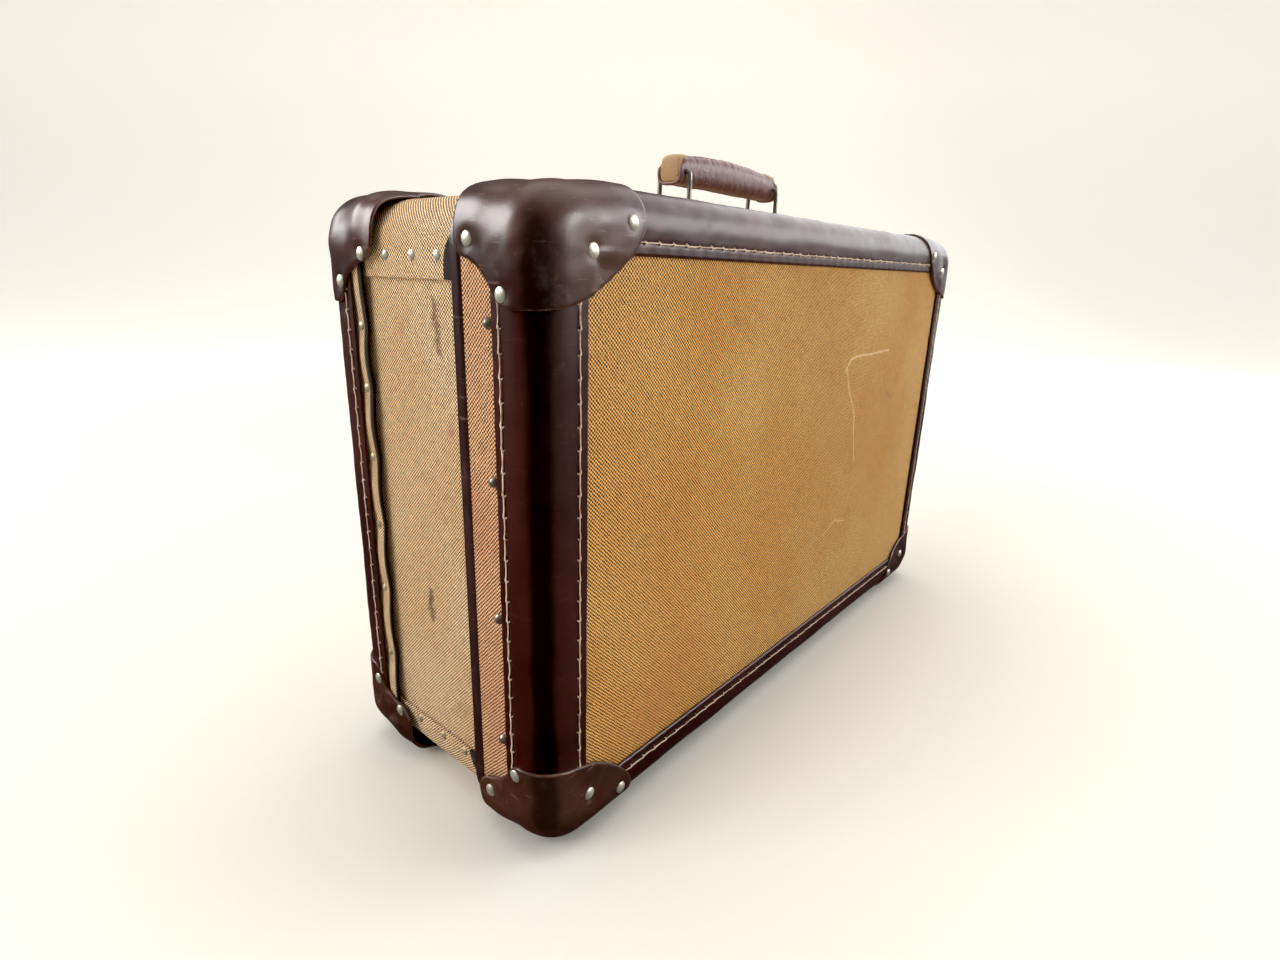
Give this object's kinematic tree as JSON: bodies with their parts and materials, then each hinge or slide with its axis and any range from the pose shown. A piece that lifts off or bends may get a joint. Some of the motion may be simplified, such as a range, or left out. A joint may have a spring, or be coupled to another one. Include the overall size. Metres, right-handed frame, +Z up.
{
  "type": "hard travelling suitcase",
  "caption": "Hard travelling suitcase in woven cloth over fibreboard, with sewn leather edges, riveted leather corner caps, wire-loop carrying handle, latches and hinged lid.",
  "frame": {"origin": "centre of the resting plane under the four bottom corner caps, with the case standing on its hinge side", "axes": "+X along the case, -Y towards the lid's big face, +Z up towards the handle"},
  "size_m": [0.607, 0.2126, 0.439],
  "materials": {
    "tweed_board": "matte",
    "edge_leather": "gloss",
    "grip_leather": "satin",
    "lining_cloth": "matte",
    "frame_board": "matte",
    "nickel_fittings": "satin",
    "wire_steel": "satin"
  },
  "bodies": {
    "case": {"back_tray": "tweed_board", "body_top_wall": "tweed_board", "body_bottom_wall": "tweed_board", "body_end_wall_left": "tweed_board", "body_end_wall_right": "tweed_board", "body_tongue_frame": "frame_board", "body_lining": "lining_cloth", "body_binding_top": "edge_leather", "body_binding_bottom": "edge_leather", "body_binding_left": "edge_leather", "body_binding_right": "edge_leather", "body_cap_top_left": "edge_leather", "body_cap_top_right": "edge_leather", "body_cap_bottom_left": "edge_leather", "body_cap_bottom_right": "edge_leather", "body_end_rivets_left": "nickel_fittings", "body_end_rivets_right": "nickel_fittings", "hinge_body_leaf_left": "nickel_fittings", "hinge_body_leaf_right": "nickel_fittings", "hinge_pin_left": "wire_steel", "hinge_pin_right": "wire_steel", "lock_base_left": "nickel_fittings", "lock_base_right": "nickel_fittings", "handle_plate_left": "wire_steel", "handle_plate_right": "wire_steel"},
    "lid": {"lid_shell": "tweed_board", "lid_rim": "edge_leather", "lid_lining": "lining_cloth", "lid_binding_top": "edge_leather", "lid_binding_bottom": "edge_leather", "lid_binding_left": "edge_leather", "lid_binding_right": "edge_leather", "lid_cap_top_left": "edge_leather", "lid_cap_top_right": "edge_leather", "lid_cap_bottom_left": "edge_leather", "lid_cap_bottom_right": "edge_leather", "lid_end_rivets_left": "nickel_fittings", "lid_end_rivets_right": "nickel_fittings", "hinge_lid_leaf_left": "nickel_fittings", "hinge_lid_leaf_right": "nickel_fittings", "lock_strike_left": "nickel_fittings", "lock_strike_right": "nickel_fittings"},
    "handle_loop_left": {"handle_loop_left": "wire_steel"},
    "handle_loop_right": {"handle_loop_right": "wire_steel"},
    "handle_grip": {"handle_grip": "grip_leather", "handle_end_left": "tweed_board", "handle_end_right": "tweed_board"},
    "hasp_left": {"lock_hasp_left": "nickel_fittings"},
    "hasp_right": {"lock_hasp_right": "nickel_fittings"},
    "slide_left": {"lock_slide_left": "nickel_fittings"},
    "slide_right": {"lock_slide_right": "nickel_fittings"}
  },
  "joints": [
    {"name": "lid_hinge", "type": "hinge", "parent": "case", "child": "lid", "pos_m": [0, -0.0342, 0.004], "axis": [1, 0, 0], "range_deg": [0, 100]},
    {"name": "handle_swing", "type": "hinge", "parent": "case", "child": "handle_loop_left", "pos_m": [-0.068, 0, 0.391], "axis": [0, 1, 0], "range_deg": [-60, 60]},
    {"name": "handle_swing_right", "type": "hinge", "parent": "case", "child": "handle_loop_right", "pos_m": [0.062, 0, 0.391], "axis": [0, 1, 0], "range_deg": [-60, 60]},
    {"name": "grip_pivot", "type": "hinge", "parent": "handle_loop_left", "child": "handle_grip", "pos_m": [-0.068, 0, 0.423], "axis": [0, 1, 0], "range_deg": [-60, 60]},
    {"name": "hasp_left_hinge", "type": "hinge", "parent": "case", "child": "hasp_left", "pos_m": [-0.17, -0.012, 0.3929], "axis": [-1, 0, 0], "range_deg": [0, 110]},
    {"name": "hasp_right_hinge", "type": "hinge", "parent": "case", "child": "hasp_right", "pos_m": [0.17, -0.012, 0.3929], "axis": [-1, 0, 0], "range_deg": [0, 110]},
    {"name": "lock_left_travel", "type": "slide", "parent": "case", "child": "slide_left", "axis": [-1, 0, 0], "range_m": [0, 0.008]},
    {"name": "lock_right_travel", "type": "slide", "parent": "case", "child": "slide_right", "axis": [1, 0, 0], "range_m": [0, 0.008]}
  ],
  "couplings": [
    {"joint": "handle_swing_right", "follows": "handle_swing", "ratio": 1},
    {"joint": "grip_pivot", "follows": "handle_swing", "ratio": -1}
  ]
}
